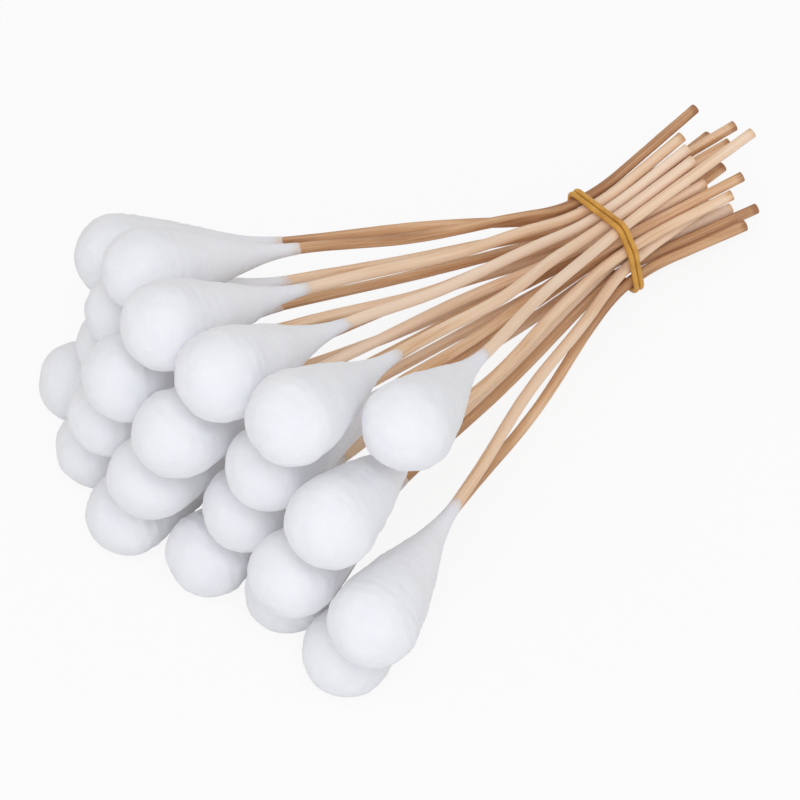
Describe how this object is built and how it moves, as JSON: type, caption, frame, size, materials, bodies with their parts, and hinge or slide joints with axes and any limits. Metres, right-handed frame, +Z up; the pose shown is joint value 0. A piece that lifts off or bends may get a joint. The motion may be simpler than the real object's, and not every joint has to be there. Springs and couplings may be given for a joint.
{
  "type": "cotton swab bundle",
  "caption": "Rubber-banded bundle of cotton swabs: wooden sticks gathered and bent at the band, fanning out to large pear-shaped cotton heads that lie on the table.",
  "frame": {"origin": "on the table, under the centre of the bundle's overall box", "axes": "+X from the cotton heads towards the bare stick ends, +Z up"},
  "size_m": [0.1678, 0.1228, 0.0722],
  "materials": {
    "cotton": "matte wound cotton fibre",
    "stick_wood": "bare sanded birch, pale tan",
    "band_rubber": "amber, satin"
  },
  "bodies": {
    "root": {"cotton_tip_01": "cotton", "cotton_tip_02": "cotton", "cotton_tip_03": "cotton", "cotton_tip_04": "cotton", "cotton_tip_05": "cotton", "cotton_tip_06": "cotton", "cotton_tip_07": "cotton", "cotton_tip_08": "cotton", "cotton_tip_09": "cotton", "cotton_tip_10": "cotton", "cotton_tip_11": "cotton", "cotton_tip_12": "cotton", "cotton_tip_13": "cotton", "cotton_tip_14": "cotton", "cotton_tip_15": "cotton", "cotton_tip_16": "cotton", "cotton_tip_17": "cotton", "cotton_tip_18": "cotton", "cotton_tip_19": "cotton", "cotton_tip_20": "cotton", "cotton_tip_21": "cotton", "cotton_tip_22": "cotton", "cotton_tip_23": "cotton", "rubber_band": "band_rubber", "stick_01": "stick_wood", "stick_02": "stick_wood", "stick_03": "stick_wood", "stick_04": "stick_wood", "stick_05": "stick_wood", "stick_06": "stick_wood", "stick_07": "stick_wood", "stick_08": "stick_wood", "stick_09": "stick_wood", "stick_10": "stick_wood", "stick_11": "stick_wood", "stick_12": "stick_wood", "stick_13": "stick_wood", "stick_14": "stick_wood", "stick_15": "stick_wood", "stick_16": "stick_wood", "stick_17": "stick_wood", "stick_18": "stick_wood", "stick_19": "stick_wood", "stick_20": "stick_wood", "stick_21": "stick_wood", "stick_22": "stick_wood", "stick_23": "stick_wood"}
  },
  "joints": []
}
